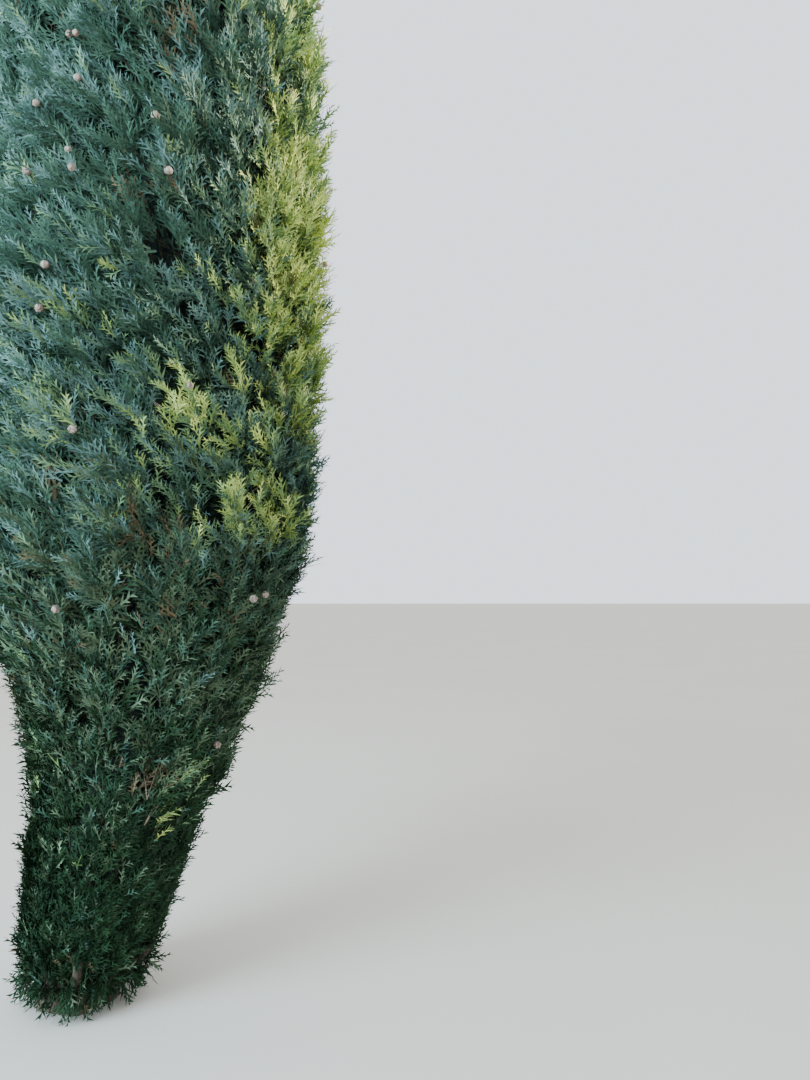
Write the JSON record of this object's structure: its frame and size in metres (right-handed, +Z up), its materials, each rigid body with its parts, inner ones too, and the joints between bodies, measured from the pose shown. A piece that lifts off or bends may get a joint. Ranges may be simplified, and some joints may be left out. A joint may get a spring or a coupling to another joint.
{
  "type": "pencil cypress tree",
  "caption": "Tall narrow evergreen tree: a leaning-footed upright trunk, steep boughs and dense plumes of feathery foliage from the ground to a pointed tip.",
  "frame": {"origin": "middle of the flat cut under the trunk, at ground level", "axes": "+Z up; -Y faces the camera of the picture; the trunk's foot leans towards +X"},
  "size_m": [1.566, 1.5968, 12],
  "materials": {
    "trunk_bark": "rough fibrous grey-brown bark, finely furrowed up and down",
    "bough_bark": "thin scaly red-brown bark",
    "foliage": "dull dark green scale leaves in upright feathery sprays"
  },
  "bodies": {
    "root": {"trunk": "trunk_bark", "bough_foot_1": "bough_bark", "bough_foot_2": "bough_bark", "bough_foot_3": "bough_bark", "bough_foot_4": "bough_bark", "bough_foot_5": "bough_bark", "bough_skirt_1": "bough_bark", "bough_skirt_2": "bough_bark", "bough_skirt_3": "bough_bark", "bough_skirt_4": "bough_bark", "bough_skirt_5": "bough_bark", "bough_lower_1": "bough_bark", "bough_lower_2": "bough_bark", "bough_lower_3": "bough_bark", "bough_lower_4": "bough_bark", "bough_lower_5": "bough_bark", "bough_middle_1": "bough_bark", "bough_middle_2": "bough_bark", "bough_middle_3": "bough_bark", "bough_middle_4": "bough_bark", "bough_middle_5": "bough_bark", "bough_upper_1": "bough_bark", "bough_upper_2": "bough_bark", "bough_upper_3": "bough_bark", "bough_upper_4": "bough_bark", "bough_upper_5": "bough_bark", "bough_shoulder_1": "bough_bark", "bough_shoulder_2": "bough_bark", "bough_shoulder_3": "bough_bark", "foliage_foot_1": "foliage", "foliage_foot_2": "foliage", "foliage_foot_3": "foliage", "foliage_foot_4": "foliage", "foliage_foot_5": "foliage", "foliage_skirt_1": "foliage", "foliage_skirt_2": "foliage", "foliage_skirt_3": "foliage", "foliage_skirt_4": "foliage", "foliage_skirt_5": "foliage", "foliage_lower_1": "foliage", "foliage_lower_2": "foliage", "foliage_lower_3": "foliage", "foliage_lower_4": "foliage", "foliage_lower_5": "foliage", "foliage_middle_1": "foliage", "foliage_middle_2": "foliage", "foliage_middle_3": "foliage", "foliage_middle_4": "foliage", "foliage_middle_5": "foliage", "foliage_upper_1": "foliage", "foliage_upper_2": "foliage", "foliage_upper_3": "foliage", "foliage_upper_4": "foliage", "foliage_upper_5": "foliage", "foliage_shoulder_1": "foliage", "foliage_shoulder_2": "foliage", "foliage_shoulder_3": "foliage", "foliage_leader": "foliage"}
  },
  "joints": []
}
